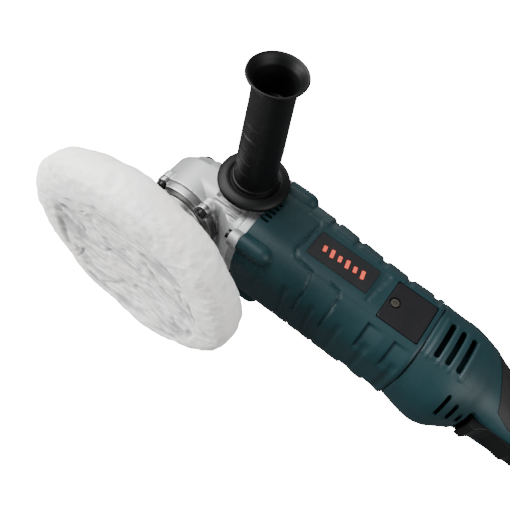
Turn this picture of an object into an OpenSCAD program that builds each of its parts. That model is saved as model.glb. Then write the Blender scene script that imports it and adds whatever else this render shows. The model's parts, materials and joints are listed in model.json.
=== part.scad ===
// Rotary polisher with a wool bonnet, built up from its separate pieces.
// Frame: origin at the centre of the bonnet's working face on the spindle axis,
// +X forwards past the gear head, +Y towards the side handle, +Z up from the pad.

/* [Overall] */
// Height of the motor axis above the bonnet's working face
axis_z = 98; // [94:1:118]
// Distance from the spindle axis back to the motor housing's front face
head_len = 62; // [60:1:76]
// Length of the motor housing
motor_len = 151; // [140:1:182]
// Length of the rear housing with its grip
tail_len = 172; // [160:1:207]
// Half width of the motor housing
body_hw = 42; // [42:0.5:51]
// Half height of the motor housing
body_hh = 43; // [42:0.5:52]
// Corner radius of the motor housing's section
body_corner = 30; // [20:1:38]
// Wall of the plastic shells
shell_wall = 2.8; // [2.2:0.1:3.4]

/* [Pad and bonnet] */
// Diameter of the backing pad
pad_d = 176; // [146:1:212]
// Thickness of the backing pad
pad_t = 15; // [12:0.5:18]
// Length of the wool pile under the pad and round its rim
wool_t = 10; // [8:0.5:12]
// Height of the whole bonnet
bonnet_h = 40; // [38:0.5:48]
// Diameter of the bonnet's gathered mouth behind the pad
mouth_d = 124; // [100:1:130]
// Diameter of the hub's flange behind the pad
hub_d = 84; // [70:1:100]
// Diameter of the spindle's thread
thread_d = 14; // [12:1:16]

/* [Bevel gears] */
// Module at the outer end of the teeth
gear_m = 1.4; // [1.2:0.05:1.7]
// Teeth on the crown gear
crown_teeth = 40; // [40:1:40]
// Teeth on the pinion
pinion_teeth = 10; // [10:1:10]
// Face width of the teeth along the cone
tooth_face = 9; // [7.5:0.5:10.5]
// Play between meshing flanks, as a share of half a pitch
backlash = 0.16; // [0.12:0.01:0.24]

/* [Gear head] */
// Wall of the gear case
case_wall = 3.6; // [3:0.1:4.4]
// Height of the gear case's roof above the motor axis
roof_h = 24; // [23:0.5:29]
// Height of the bearing cover's band
band_h = 7.5; // [6:0.5:9]
// Length of the cover's neck below its band
neck_h = 11; // [10:0.5:13]
// Radius of the cover's neck
neck_r = 24; // [22.5:0.5:28]
// Travel of the spindle lock button
lock_travel = 5.5; // [5:0.1:6]

/* [Side handle] */
// Distance of the handle's axis behind the spindle
handle_back = 40; // [36:1:44]
// Height of the handle's axis above the motor axis
handle_rise = 11; // [9:1:13]
// How far the handle boss faces stand out past the motor housing's side
boss_proud = 2; // [1:0.5:4]
// Length of the side handle
handle_len = 112.5; // [94:0.5:135]
// Diameter of the handle's inner flange
flange_d = 58; // [50:1:69]
// Diameter of the grip next to the inner flange
grip_d = 33; // [30:1:38]
// Diameter of the hollow end
end_d = 41.5; // [36:0.5:49]
// Tapping diameter of the handle sockets
socket_d = 12; // [10:0.5:14]
// Depth of the handle sockets
socket_depth = 16; // [14:0.5:18]

/* [Motor] */
// Diameter of the armature core
rotor_d = 48; // [40:1:50]
// Air gap between the core and the stator
air_gap = 0.6; // [0.4:0.1:1]
// Diameter of the commutator
comm_d = 26; // [22:1:30]
// Diameter of the cooling fan
fan_d = 68; // [58:1:72]
// Number of fan blades
fan_blades = 14; // [9:1:17]

/* [Covers and label] */
// Width of a brush cover
cover_w = 34; // [28:1:40]
// Height of a brush cover
cover_h = 35; // [29:1:40]
// Length of the label plate
label_w = 53; // [44:1:60]
// Height of the label plate
label_h = 23; // [19:1:27]

/* [Grip and controls] */
// Half width of the grip
grip_hw = 24; // [22:0.5:28]
// Width of the trigger
trigger_w = 25; // [21:0.5:30]
// Travel of the trigger in degrees
trigger_deg = 4; // [3:0.5:4]
// Diameter of the speed dial
dial_d = 24; // [21:0.5:28]
// Diameter of the lock-on button
lock_on_d = 11; // [9:0.5:13]
// Bore of the cord gland
gland_bore = 9; // [7.5:0.5:10]

/* [Hidden] */
$fn = 64;

// Clearances: run is a shaft turning in a bore, seat a part that stays in its seat,
// gap the air between a moving piece and its neighbour
run = 0.05;
seat = 0.05;
gap = 0.4;
eps = 0.01;

// Stations along X
x_face = -head_len;
x_split = x_face - motor_len;
x_tail = x_split - tail_len;

// Bevel gear cones, both with their apex where the two axes cross
crown_r = gear_m * crown_teeth / 2;
pinion_r = gear_m * pinion_teeth / 2;
cone_out = sqrt(crown_r * crown_r + pinion_r * pinion_r);
cone_in = cone_out - tooth_face;
crown_angle = atan(crown_r / pinion_r);
pinion_angle = 90 - crown_angle;
addendum_deg = 0.62 * gear_m / cone_out * 180 / PI;
dedendum_deg = 0.95 * gear_m / cone_out * 180 / PI;
flank_deg = 20;

// Gear head levels
web_z = axis_z - pinion_r - 1.5;
crown_z = axis_z - pinion_r - 11;
case_z = crown_z - 4;
case_r = crown_r + 2.4 + case_wall;
roof_z = axis_z + roof_h;
band_z = case_z - band_h;
neck_z = band_z - neck_h;
boss_y = body_hw + boss_proud;
boss_z = axis_z + handle_rise;
shaft_hub_r = 11;
lock_x = (shaft_hub_r + cone_in * sin(crown_angle)) / 2 + 0.6;
lock_pin_r = 2.5;
lock_floor = axis_z + 16;
button_r = 8;

// Bearings: bore radius, outer radius, width
spindle_brg = [7.5, 17.5, 11];
front_brg = [6, 16, 10];
rear_brg = [4, 11, 7];
bush = [5, 8, 9];
front_brg_x = -crown_r - 12;
spindle_brg_z = neck_z + 3.5;
bush_z = axis_z + 10.5;

// Motor stations
fan_x = x_face - 4;
baffle_x = fan_x - 14;
comm_x = x_split + 31;
comm_len = 15;
brush_x = comm_x - comm_len / 2;
core_x = x_face - 34;
core_len = core_x - (comm_x + 21);
rear_brg_x = x_split + 13;
stator_r = body_hw - 4;

// Screw pattern between the gear case and the motor housing
case_screw_y = body_hw - 9;
case_screw_z = body_hh - 10;
screw_r = 2;
screw_hole = screw_r + seat;

// Brush covers and label, on the flat sides
cover_x = x_split + 21;
cover_z = axis_z - 3;
cover_t = 3;
label_x = x_face - 71.5;

// Grip stations: x, centre z, half width, half height, squareness of the section
tail_stations = [
    [x_split, axis_z, body_hw, body_hh, 2.7],
    [x_split - 28, axis_z - 2.3, body_hw - 0.5, body_hh + 1.8, 2.7],
    [x_split - 38, axis_z - 1, body_hw - 2.5, body_hh + 0.5, 2.6],
    [x_split - 48, axis_z - 1, grip_hw + 12, 37, 2.6],
    [x_split - 60, axis_z - 1, grip_hw + 6, 30, 2.5],
    [x_split - 78, axis_z - 5, grip_hw, 26, 2.5],
    [x_tail + 60, axis_z - 6, grip_hw - 1, 24, 2.5],
    [x_tail + 12, axis_z - 6, grip_hw - 1, 24, 2.5],
    [x_tail, axis_z - 6, grip_hw - 4, 21, 2.4]];
inlay_t = 1.2;
grip_cz = axis_z - 6;
dial_x = x_tail + 24;
dial_z = grip_cz + 14;
dial_w = 8;
pivot_x = x_tail + 34;
pivot_z = grip_cz - 17;
trigger_pin_r = 2;
lock_on_x = x_split - 112;
lock_on_z = axis_z + 1;
lock_on_travel = 3;
spring_x = x_split - 90;
trigger_top = pivot_z + 4.5;
trigger_nose = x_split - 59.5;
switch_z = trigger_top + 8;
shell_screw_xz = [[x_split - 8, axis_z + 31], [x_split - 8, axis_z - 31],
    [x_split - 68, axis_z + 17], [x_tail + 45, grip_cz + 15], [x_tail + 9, grip_cz - 17]];

// ---- shared shapes ----

module along_x(x0, x1) translate([x0, 0, 0]) rotate([90, 0, -90]) linear_extrude(x0 - x1) children();

module rounded(w, h, r) {
    square([w, h - 2 * r], center = true);
    square([w - 2 * r, h], center = true);
    for (u = [-1, 1], v = [-1, 1]) translate([u * (w / 2 - r), v * (h / 2 - r)]) circle(r);
}

// Section of the motor housing, as a slab between two stations
module body_slab(x0, x1, grow = 0)
    translate([0, 0, axis_z]) along_x(x0, x1)
        rounded(2 * (body_hw + grow), 2 * (body_hh + grow), body_corner + grow);

// Cylinder along X on the motor axis, from x0 back to x1
module shaft_x(x0, x1, r)
    translate([x1, 0, axis_z]) rotate([0, 90, 0]) cylinder(h = x0 - x1, r = r);

module rod_y(x, z, y0, y1, r) translate([x, y0, z]) rotate([-90, 0, 0]) cylinder(h = y1 - y0, r = r);

module tube(h, ro, ri) difference() {
    cylinder(h = h, r = ro);
    translate([0, 0, -1]) cylinder(h = h + 2, r = ri);
}

// A ball bearing: two races and a ring of balls, on the Z axis from z = 0
module ball_bearing(b) {
    ri = b[0] + run;
    mid = (b[0] + b[1]) / 2;
    ball = (b[1] - b[0]) * 0.26;
    race = (b[1] - b[0]) * 0.32;
    difference() {
        union() {
            tube(b[2], b[1], b[1] - race);
            tube(b[2], ri + race, ri);
            translate([0, 0, b[2] / 2 - 0.6]) tube(1.2, b[1] - race + eps, ri + race - eps);
        }
        for (z = [-1, b[2] - 0.5]) translate([0, 0, z]) tube(1.5, mid + ball, mid - ball);
    }
    for (a = [0:40:359]) rotate(a) translate([mid, 0, b[2] / 2]) sphere(ball, $fn = 24);
}

// Ring of points of one lofted section
function section(s, grow, n) = [for (i = [0:n - 1])
    let (a = 360 * i / n, c = cos(a), q = sin(a))
    [s[0], (s[2] + grow) * sign(c) * pow(abs(c), 2 / s[4]),
        s[1] + (s[3] + grow) * sign(q) * pow(abs(q), 2 / s[4])]];

// Body lofted through a list of stations, given from front to back
module loft(stations, grow = 0, n = 40) {
    m = len(stations);
    points = [for (s = stations) each section(s, grow, n)];
    walls = [for (k = [0:m - 2], i = [0:n - 1])
        let (j = (i + 1) % n, a = k * n + i, b = k * n + j)
        each [[a, b, b + n], [a, b + n, a + n]]];
    polyhedron(points, concat([[for (i = [n - 1:-1:0]) i]], walls, [[for (i = [0:n - 1]) (m - 1) * n + i]]));
}

// Coil spring on the Z axis from z = 0
module coil(r, wire, turns, h) {
    sides = 6;
    steps = 14;
    n = turns * steps;
    points = [for (k = [0:n]) let (a = 360 * k / steps, z = wire + (h - 2 * wire) * k / n)
        for (i = [0:sides - 1]) let (b = 360 * i / sides)
        [(r + wire * cos(b)) * cos(a), (r + wire * cos(b)) * sin(a), z + wire * sin(b)]];
    walls = [for (k = [0:n - 1], i = [0:sides - 1])
        let (j = (i + 1) % sides, a = k * sides + i, b = k * sides + j)
        each [[a, b, b + sides], [a, b + sides, a + sides]]];
    polyhedron(points, concat([[for (i = [sides - 1:-1:0]) i]], walls,
        [[for (i = [0:sides - 1]) n * sides + i]]));
}

// Bevel tooth outline: pairs of cone angle and turn, from one root to the other
function tooth(teeth, angle, relief) =
    let (half = 90 / teeth * (1 - backlash), slope = tan(flank_deg) / sin(angle),
        tip = half - addendum_deg * slope - relief,
        root = min(half + dedendum_deg * slope, 180 / teeth * 0.86))
    [[-dedendum_deg, -root], [0, -half], [addendum_deg, -tip],
        [addendum_deg, tip], [0, half], [-dedendum_deg, root]];

// Bevel gear blank on the Z axis, apex at the origin, teeth towards +Z
module bevel(teeth, angle, relief, core_r, base) {
    outline = tooth(teeth, angle, relief);
    k = len(outline);
    n = k * teeth;
    turn = [for (t = [0:teeth - 1], p = outline) t * 360 / teeth + p[1]];
    lift = [for (t = [0:teeth - 1], p = outline) angle + p[0]];
    foot_r = cone_out * sin(angle - dedendum_deg);
    rings = concat(
        [for (i = [0:n - 1]) cone_out * [sin(lift[i]) * cos(turn[i]), sin(lift[i]) * sin(turn[i]), cos(lift[i])]],
        [for (i = [0:n - 1]) cone_in * [sin(lift[i]) * cos(turn[i]), sin(lift[i]) * sin(turn[i]), cos(lift[i])]],
        [for (i = [0:n - 1]) [core_r * cos(turn[i]), core_r * sin(turn[i]), cone_in * cos(angle - dedendum_deg)]],
        [for (i = [0:n - 1]) [core_r * cos(turn[i]), core_r * sin(turn[i]), base]],
        [for (i = [0:n - 1]) [foot_r * cos(turn[i]), foot_r * sin(turn[i]), base]]);
    polyhedron(rings, [for (q = [0:4], i = [0:n - 1])
        let (j = (i + 1) % n, a = q * n, b = ((q + 1) % 5) * n)
        each [[a + i, a + j, b + j], [a + i, b + j, b + i]]]);
}

module pan_screw(head_r, head_h, shank, length) {
    difference() {
        cylinder(h = head_h, r = head_r);
        for (a = [0, 90]) rotate(a) translate([-head_r * 0.6, -0.5, head_h * 0.45])
            cube([head_r * 1.2, 1, head_h]);
    }
    translate([0, 0, -length]) cylinder(h = length + eps, r = shank);
}

// ---- gear head ----

module four_corners() for (u = [-1, 1], v = [-1, 1]) translate([0, u * case_screw_y, v * case_screw_z]) children();

module cover_screw_spots() for (a = [50, 130, 230, 310]) rotate(a) translate([case_r - 2.5, 0, 0]) children();

// Outside of the case: a round pot over the crown gear that runs back to a square flange
module case_outside() {
    translate([0, 0, case_z]) rotate_extrude() polygon([[0, 0], [case_r, 0],
        [case_r, roof_z - case_z - 16], [case_r - 9, roof_z - case_z - 4],
        [case_r - 14, roof_z - case_z], [0, roof_z - case_z]]);
    translate([0, 0, axis_z + 1]) along_x(0, -case_r + 1) rounded(2 * case_r, 2 * roof_h - 6, 14);
    hull() {
        translate([0, 0, axis_z + 1]) along_x(-case_r + 2, -case_r + 1)
            rounded(2 * case_r, 2 * roof_h - 6, 14, $fn = 32);
        translate([0, 0, axis_z]) along_x(x_face + 9, x_face + 7)
            rounded(2 * body_hw - 12, 2 * body_hh - 12, body_corner - 8, $fn = 32);
    }
    translate([0, 0, axis_z]) along_x(x_face + 8, x_face)
        rounded(2 * body_hw - 8, 2 * body_hh - 8, body_corner - 4);
    translate([0, 0, axis_z]) four_corners() along_x(x_face + 9, x_face) circle(7);
    rod_y(-handle_back, boss_z, -boss_y, boss_y, socket_d / 2 + 7);
    translate([lock_x, 0, axis_z + 8]) cylinder(h = roof_z + 3 - axis_z - 8, r = button_r + 3.5);
    translate([0, 0, case_z]) cover_screw_spots() cylinder(h = 7, r = 6);
}

// Louvred pocket in a flank of the case, between the pot and the flange
module louvre_pocket() translate([-handle_back - 8, case_r - 3.5, axis_z - 22]) difference() {
    cube([26, 12, 16]);
    for (k = [1:3]) translate([-1, -1, 5 * k - 1.2]) cube([28, 3.4, 1.8]);
}

module gear_case() color("silver") difference() {
    case_outside();
    for (s = [0, 1]) mirror([0, s, 0]) louvre_pocket();
    translate([0, 0, case_z - 1]) cylinder(h = axis_z + 10 - case_z + 1, r = case_r - case_wall);
    shaft_x(0, front_brg_x + 3, pinion_r + 5);
    shaft_x(0, x_face - 1, front_brg[0] + 2);
    shaft_x(front_brg_x, x_face - 1, front_brg[1] + seat);
    shaft_x(x_face + 6, x_face - 1, front_brg[1] + 8);
    translate([0, 0, axis_z]) cylinder(h = bush_z + bush[2] - axis_z, r = bush[1] + seat);
    for (s = [-1, 1]) rod_y(-handle_back, boss_z, s > 0 ? boss_y - socket_depth : -boss_y - 1,
        s > 0 ? boss_y + 1 : -boss_y + socket_depth, socket_d / 2);
    translate([lock_x, 0, 0]) {
        translate([0, 0, axis_z]) cylinder(h = 40, r = lock_pin_r + run);
        translate([0, 0, lock_floor]) cylinder(h = 40, r = button_r + gap);
    }
    translate([0, 0, axis_z]) four_corners() along_x(x_face + 10, x_face - 1) circle(screw_r + 0.3);
    translate([0, 0, case_z - 1]) cover_screw_spots() cylinder(h = 7, r = screw_hole);
}

module gear_case_screws() color("dimgray") translate([x_face + 9, 0, axis_z]) four_corners()
    rotate([0, 90, 0]) pan_screw(4, 3, screw_r, 30);

module bearing_cover() color("lightgray") difference() {
    union() {
        translate([0, 0, band_z]) cylinder(h = band_h, r = case_r - 1);
        translate([0, 0, case_z - 5]) cover_screw_spots() cylinder(h = 5, r = 6);
        translate([0, 0, neck_z]) cylinder(h = neck_h + 1, r = neck_r);
    }
    translate([0, 0, neck_z - 1]) cylinder(h = 40, r = spindle_brg[0] + 3);
    translate([0, 0, spindle_brg_z]) cylinder(h = 40, r = spindle_brg[1] + seat);
    translate([0, 0, neck_z - 1]) cylinder(h = 3, r = neck_r - 6);
    translate([0, 0, case_z - 10]) cover_screw_spots() {
        cylinder(h = 12, r = screw_r + 0.3);
        cylinder(h = 5, r = 6);
    }
}

module bearing_cover_screws() color("black") translate([0, 0, case_z - 5]) cover_screw_spots()
    mirror([0, 0, 1]) pan_screw(3.6, 3, screw_r, 10);

module spindle_seal() color("black") translate([0, 0, neck_z - 1])
    tube(3 - seat, neck_r - 6 - seat, spindle_brg[0] + 2.2);

module spindle_bearing() color("gainsboro") translate([0, 0, spindle_brg_z]) ball_bearing(spindle_brg);

module spindle_bush() color("peru") translate([0, 0, bush_z])
    tube(bush[2] - seat, bush[1], bush[0] + run);

module front_bearing() color("gainsboro") translate([front_brg_x - front_brg[2], 0, axis_z])
    rotate([0, 90, 0]) ball_bearing(front_brg);

// ---- motor housing ----

module air_baffle() color("dimgray") difference() {
    shaft_x(baffle_x, baffle_x - 2.5, stator_r - seat);
    shaft_x(baffle_x + 1, baffle_x - 4, fan_d / 2 - 8);
}

module cover_plate(grow) translate([cover_x, 0, cover_z]) rotate([-90, 0, 0]) linear_extrude(cover_t)
    rounded(cover_w + 2 * grow, cover_h + 2 * grow, 2);

module label_block(x, grow, t) translate([x, 0, axis_z]) rotate([-90, 0, 0]) linear_extrude(t)
    rounded(label_w + 2 * grow, label_h + 2 * grow, 1.5);

brush_w = 9;
brush_h = 7;
holder_wall = 1.5;

module brush_well(grow) translate([brush_x - brush_w / 2 - grow, 0, axis_z - brush_h / 2 - grow])
    cube([brush_w + 2 * grow, body_hw + 1, brush_h + 2 * grow]);

module motor_housing() color([0.16, 0.27, 0.29]) difference() {
    union() {
        body_slab(x_face, x_split);
        translate([0, 0, axis_z]) four_corners() along_x(x_face, x_face - 28) circle(8);
    }
    difference() {
        shaft_x(x_face + 1, x_split - 1, stator_r);
        // Spider that carries the rear bearing
        difference() {
            shaft_x(rear_brg_x + 1, rear_brg_x - rear_brg[2] - 3, stator_r + 1);
            for (a = [45:90:359]) translate([0, 0, axis_z]) rotate([a, 0, 0])
                translate([x_split - 1, -8, rear_brg[1] + 7]) cube([60, 16, 12]);
        }
    }
    shaft_x(rear_brg_x + 2, rear_brg_x - rear_brg[2], rear_brg[1] + 3 + seat);
    shaft_x(rear_brg_x + 2, rear_brg_x - 20, rear_brg[0] + 3);
    translate([0, 0, axis_z]) four_corners() along_x(x_face + 1, x_face - 24) circle(screw_hole);
    for (s = [0, 1]) mirror([0, s, 0]) {
        translate([0, body_hw - cover_t, 0]) cover_plate(0.3);
        translate([0, body_hw - 0.4, 0]) label_block(label_x, 0.2, 2);
        brush_well(holder_wall + 0.3);
        rod_y(cover_screw_x(), cover_z, body_hw - cover_t - 5, body_hw, 1.5 + seat);
    }
}

function cover_screw_x() = cover_x + cover_w / 2 - 6;

module stator_core() color("slategray") difference() {
    shaft_x(core_x, core_x - core_len, stator_r - seat);
    shaft_x(core_x + 1, core_x - core_len - 1, rotor_d / 2 + air_gap);
    translate([0, 0, axis_z]) coil_slots(core_x + 1, core_x - core_len - 1, 0.3);
}

// The two winding slots on each side of the poles
module coil_slots(x0, x1, grow) for (u = [0, 1], v = [0, 1]) mirror([0, u, 0]) mirror([0, 0, v])
    along_x(x0, x1) polygon([for (r = [rotor_d / 2 + 2 - grow, stator_r - 5 + grow],
        a = r < stator_r - 6 ? [18 - grow, 42 + grow] : [42 + grow, 18 - grow]) [r * cos(a), r * sin(a)]]);

module field_windings() color("orangered") {
    inner = rotor_d / 2 + 2;
    outer = stator_r - 5;
    translate([0, 0, axis_z]) coil_slots(core_x + 1, core_x - core_len - 1, 0);
    for (x = [core_x + 8, core_x - core_len - 0.5]) difference() {
        shaft_x(x, x - 7.5, outer * cos(12));
        shaft_x(x + 1, x - 9, inner);
        translate([x - 10, -50, axis_z - 8]) cube([20, 100, 16]);
    }
}

module brush_holder() translate([0, comm_d / 2 + 2, 0]) difference() {
    intersection() {
        brush_well(holder_wall);
        rod_y(brush_x, axis_z, 0, body_hw - cover_t - comm_d / 2 - 3, 20);
    }
    translate([0, -1, 0]) brush_well(0.1);
}

module brush_holder_left() color("goldenrod") brush_holder();
module brush_holder_right() color("goldenrod") mirror([0, 1, 0]) brush_holder();

brush_len = (body_hw - comm_d / 2) / 2;
module brush() translate([brush_x - brush_w / 2, comm_d / 2 + gap, axis_z - brush_h / 2])
    cube([brush_w, brush_len, brush_h]);
module brush_left() color("black") brush();
module brush_right() color("black") mirror([0, 1, 0]) brush();

module brush_spring() {
    start = comm_d / 2 + gap + brush_len;
    translate([brush_x, start, axis_z]) rotate([-90, 0, 0])
        coil(2.6, 0.4, 5, body_hw - cover_t - start);
}
module brush_spring_left() color("silver") brush_spring();
module brush_spring_right() color("silver") mirror([0, 1, 0]) brush_spring();

module brush_cover() difference() {
    translate([0, body_hw - cover_t, 0]) cover_plate(0);
    rod_y(cover_screw_x(), cover_z, body_hw - 10, body_hw + 1, 1.8);
    rod_y(cover_screw_x(), cover_z, body_hw - cover_t / 2, body_hw + 1, 3.6);
}
module brush_cover_left() color([0.16, 0.16, 0.17]) brush_cover();
module brush_cover_right() color([0.16, 0.16, 0.17]) mirror([0, 1, 0]) brush_cover();
module brush_cover_screws() color("silver") for (s = [0, 1]) mirror([0, s, 0])
    translate([cover_screw_x(), body_hw - cover_t / 2, cover_z]) rotate([-90, 0, 0])
        pan_screw(3.2, 1.2, 1.5, cover_t / 2 + 4);

module label_plate() color([0.2, 0.22, 0.24]) translate([0, body_hw - 0.4, 0]) label_block(label_x, 0, 0.8);
module rating_plate() color([0.2, 0.22, 0.24]) mirror([0, 1, 0])
    translate([0, body_hw - 0.4, 0]) label_block(label_x, 0, 0.8);

module bearing_sleeve() color("black") translate([rear_brg_x - rear_brg[2], 0, axis_z]) rotate([0, 90, 0])
    tube(rear_brg[2] + 1, rear_brg[1] + 3, rear_brg[1]);
module rear_bearing() color("gainsboro") translate([rear_brg_x - rear_brg[2], 0, axis_z])
    rotate([0, 90, 0]) ball_bearing([rear_brg[0], rear_brg[1] - seat, rear_brg[2]]);

// ---- rear housing and grip ----

module inner_loft(wall) loft(concat(
    [[x_split + 1, axis_z, body_hw, body_hh, 2.7]],
    [for (i = [1:len(tail_stations) - 2]) tail_stations[i]],
    [[x_tail + wall + 1, axis_z - 6, grip_hw - 2, 22.5, 2.4]]), -wall);

// Side outline of the soft grip panels, as a prism across the whole width
module inlay_prism(grow) rotate([90, 0, 0]) translate([0, 0, -60]) linear_extrude(120) polygon([
    [x_split - 48 + grow, axis_z + 33], [x_split - 70 + grow, grip_cz - 12 - grow],
    [x_split - 82, grip_cz - 16 - grow], [x_tail + 30, grip_cz - 14 - grow],
    [x_tail + 8 - grow, grip_cz - 8], [x_tail + 8 - grow, axis_z + 40], [x_split - 48, axis_z + 40]]);

// Opening for the trigger in the underside, with a notch that bares the trigger's sides
module trigger_slot() {
    translate([pivot_x - 8, -trigger_w / 2 - gap, pivot_z - 30])
        cube([x_split - 50 - pivot_x + 8, trigger_w + 2 * gap, 32]);
    translate([trigger_nose - 45, -grip_hw - 12, pivot_z - 30]) cube([50, 2 * grip_hw + 24, 30]);
}

module shell_bosses() for (p = shell_screw_xz) rod_y(p[0], p[1], -50, 50, 5);
module side_bosses() {
    rod_y(dial_x, dial_z, -50, -dial_w / 2 - gap, 5);
    rod_y(dial_x, dial_z, dial_w / 2 + gap, 50, 5);
    rod_y(pivot_x, pivot_z, -50, -trigger_w / 2 - gap, 5);
    rod_y(pivot_x, pivot_z, trigger_w / 2 + gap, 50, 5);
}

module vents() for (s = [0, 1]) mirror([0, s, 0]) {
    for (k = [0:2]) translate([x_split - 13.7 - 9 * k, body_hw - 12, axis_z - 19.5]) cube([4.4, 20, 31.5]);
    for (k = [0, 1]) translate([x_split - 36.7 - 8.5 * k, 13.5 - 2 * k, axis_z - 54]) cube([3.2, 32, 22]);
}

// Both halves before they are parted along the middle plane
module whole_shell() difference() {
    union() {
        difference() {
            loft(tail_stations);
            inner_loft(shell_wall);
        }
        intersection() {
            loft(tail_stations);
            union() {
                shell_bosses();
                side_bosses();
            }
        }
    }
    difference() {
        inlay_prism(seat);
        loft(tail_stations, -inlay_t - seat);
    }
    vents();
    trigger_slot();
    translate([dial_x, 0, dial_z]) rotate([90, 0, 0])
        cylinder(h = dial_w + 2 * gap, r = dial_d / 2 + 1, center = true);
    rod_y(dial_x, dial_z, -12, 12, 2.5 + run);
    rod_y(pivot_x, pivot_z, -17, 17, trigger_pin_r + seat);
    shaft_end(x_tail - 1, x_tail + 12, gland_bore / 2 + 3 + seat);
}

module shaft_end(x0, x1, r) translate([x0, 0, grip_cz - 2]) rotate([0, 90, 0]) cylinder(h = x1 - x0, r = r);

module rear_shell_left() color([0.16, 0.27, 0.29]) difference() {
    intersection() {
        whole_shell();
        translate([x_tail - 1, 0, 0]) cube([tail_len + 1, 60, 200]);
    }
    for (p = shell_screw_xz) rod_y(p[0], p[1], -1, 12, 1.6 + seat);
    rod_y(lock_on_x, lock_on_z, 8, 60, lock_on_d / 2 + run);
}

module rear_shell_right() color([0.16, 0.27, 0.29]) difference() {
    intersection() {
        whole_shell();
        translate([x_tail - 1, -60, 0]) cube([tail_len + 1, 60, 200]);
    }
    for (p = shell_screw_xz) {
        rod_y(p[0], p[1], -60, 1, 1.9);
        rod_y(p[0], p[1], -60, -10, 3.6);
    }
}

module inlay() intersection() {
    difference() {
        loft(tail_stations);
        loft(tail_stations, -inlay_t);
    }
    inlay_prism(0);
    translate([x_tail, 0, 0]) cube([tail_len, 60, 200]);
}

module grip_inlay_left() color([0.07, 0.07, 0.07]) difference() {
    inlay();
    rod_y(lock_on_x, lock_on_z, 8, 60, lock_on_d / 2 + gap);
    dial_window();
}
module grip_inlay_right() color([0.07, 0.07, 0.07]) difference() {
    mirror([0, 1, 0]) inlay();
    for (p = shell_screw_xz) rod_y(p[0], p[1], -60, -10, 3.6);
    dial_window();
}
module dial_window() translate([dial_x, 0, dial_z]) rotate([90, 0, 0])
    cylinder(h = dial_w + 2 * gap, r = dial_d / 2 + 1, center = true);

module shell_screws() color("dimgray") for (p = shell_screw_xz) translate([p[0], -10, p[1]])
    rotate([90, 0, 0]) pan_screw(3.3, 2.2, 1.6, 20);

module switch_body() color("dimgray") translate([spring_x - 18, -10, switch_z]) cube([36, 20, 17]);

module control_module() color("darkslategray")
    translate([dial_x + dial_d / 2 + 1, -12, grip_cz - 6]) cube([16, 24, 14]);

module cord_gland() color("black") difference() {
    union() {
        shaft_end(x_tail - 6, x_tail + 10, gland_bore / 2 + 3);
        shaft_end(x_tail + 5, x_tail + 8, gland_bore / 2 + 5);
    }
    shaft_end(x_tail - 7, x_tail + 11, gland_bore / 2);
}

module trigger_pin() color("silver") rod_y(pivot_x, pivot_z, -16.5, 16.5, trigger_pin_r);

// ---- side handle ----

// Places a shape made on the Z axis on the left boss, running outwards
module on_left_boss() translate([-handle_back, boss_y, boss_z]) rotate([-90, 0, 0]) children();

module side_handle_grip() color([0.06, 0.06, 0.06]) on_left_boss() difference() {
    grip_r = grip_d / 2;
    flare = 26;
    rotate_extrude() polygon(concat(
        [[0, 0.4], [flange_d / 2 - 2.5, 0.4]],
        [for (a = [-90:15:90]) [flange_d / 2 - 4 + 4 * cos(a), 4.4 + 4 * sin(a)]],
        [[grip_r + 3, 9.6], [grip_r + 1, 12], [grip_r, 16], [grip_r - 0.8, handle_len / 2],
            [grip_r - 1.2, handle_len - flare - 8]],
        [for (t = [0:0.1:1]) [grip_r - 1.2 + (end_d / 2 - grip_r + 1.2) * t * t, handle_len - flare + (flare - 1) * t]],
        [[end_d / 2 - 1, handle_len], [0, handle_len]]));
    translate([0, 0, handle_len - 28]) cylinder(h = 28 + eps, r1 = grip_r - 4.5, r2 = end_d / 2 - 2.2);
    for (k = [0:4]) translate([0, 0, 24 + 12 * k]) tube(0.8, grip_r + 2, grip_r - 1.4);
    translate([0, 0, -1]) cylinder(h = 27, r = 5 + seat);
}

module side_handle_stud() color("silver") on_left_boss() {
    translate([0, 0, -socket_depth + 2]) cylinder(h = socket_depth - 2, r = socket_d / 2 - run);
    cylinder(h = 26, r = 5);
}

// ---- spindle and pad ----

thread_r = thread_d / 2;
pad_z = wool_t;
hub_z = pad_z + pad_t;
collar_z = neck_z - 7;

module spindle() color("silver") rotate_extrude() polygon([[0, pad_z + 6], [thread_r - 1, pad_z + 6],
    [thread_r, pad_z + 7], [thread_r, collar_z], [thread_r + 6, collar_z], [thread_r + 6, collar_z + 5],
    [spindle_brg[0] + 1.5, collar_z + 5], [spindle_brg[0] + 1.5, spindle_brg_z], [spindle_brg[0], spindle_brg_z],
    [spindle_brg[0], crown_z - 1], [spindle_brg[0] - 0.1, crown_z - 1], [spindle_brg[0] - 0.1, web_z + 5],
    [6, web_z + 5], [6, bush_z - 3], [bush[0], bush_z - 3], [bush[0], bush_z + bush[2] - 1.5], [0, bush_z + bush[2] - 1.5]]);

module crown_gear() color("gray") difference() {
    union() {
        translate([0, 0, axis_z]) mirror([0, 0, 1])
            bevel(crown_teeth, crown_angle, 0, cone_in * sin(crown_angle) - 1, axis_z - crown_z - 1);
        translate([0, 0, crown_z + 1]) cylinder(h = web_z - crown_z - 1, r = cone_in * sin(crown_angle));
        translate([0, 0, crown_z - 1]) cylinder(h = web_z + 2.5 - crown_z + 1, r = shaft_hub_r);
    }
    translate([0, 0, crown_z - 2]) cylinder(h = 30, r = spindle_brg[0] - 0.05);
    for (a = [0:30:359]) rotate(a) translate([lock_x, 0, crown_z - 2]) cylinder(h = 30, r = lock_pin_r + 0.4);
}

module crown_gear_clip() color("black") translate([0, 0, web_z + 2.5]) difference() {
    tube(1.2, shaft_hub_r - 0.5, spindle_brg[0] - 0.05);
    translate([4, -2.5, -1]) cube([20, 5, 4]);
}

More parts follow.
